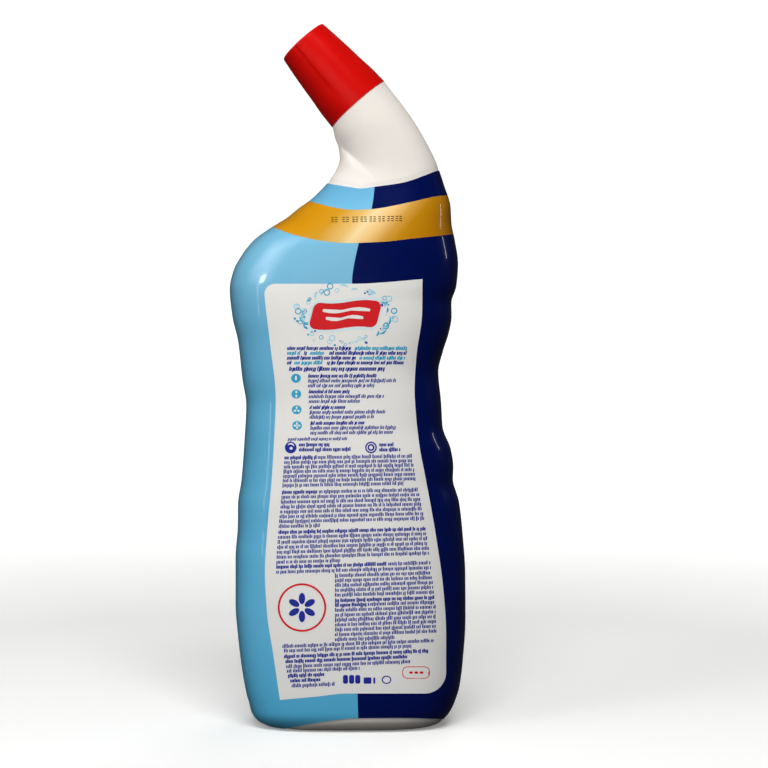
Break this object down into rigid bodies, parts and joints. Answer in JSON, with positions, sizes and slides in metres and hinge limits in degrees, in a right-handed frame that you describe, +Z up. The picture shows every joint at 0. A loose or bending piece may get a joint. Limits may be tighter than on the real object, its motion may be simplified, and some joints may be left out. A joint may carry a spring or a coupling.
{
  "type": "toilet cleaner bottle",
  "caption": "Squeeze bottle with a tilted neck, printed shrink sleeve, nozzle insert and child-resistant screw cap, holding toilet cleaning gel.",
  "frame": {"origin": "centre of the bounding box's foot, on the plane that the bottle stands on", "axes": "+Z up; +X towards the side with the finger grips, away from the lean of the neck; -Y out of the label face that the picture shows"},
  "size_m": [0.094, 0.054, 0.2787],
  "materials": {
    "bottle_hdpe": "satin blow-moulded polyethylene",
    "sleeve_film": "glossy printed shrink film",
    "nozzle_ldpe": "satin moulded polyethylene",
    "seal_foam": "matt foamed polyethylene",
    "cap_polypropylene": "semi-gloss moulded polypropylene",
    "gel": "wet and glossy, not seen through the white wall"
  },
  "bodies": {
    "bottle": {"bottle": "bottle_hdpe", "shrink_sleeve": "sleeve_film", "nozzle_insert": "nozzle_ldpe", "cleaner_gel": "gel"},
    "cap_seal": {"cap_seal": "seal_foam"},
    "cap": {"cap": "cap_polypropylene"}
  },
  "joints": [
    {"name": "cap_lift", "type": "slide", "parent": "bottle", "child": "cap_seal", "axis": [-0.66, 0, 0.7513], "range_m": [0, 0.0361]},
    {"name": "cap_turn", "type": "hinge", "parent": "cap_seal", "child": "cap", "pos_m": [0.0044, 0, 0.2466], "axis": [-0.66, 0, 0.7513], "range_deg": [0, 3240]}
  ],
  "couplings": [
    {"joint": "cap_lift", "follows": "cap_turn", "m_per_rad": 0.00063662}
  ]
}
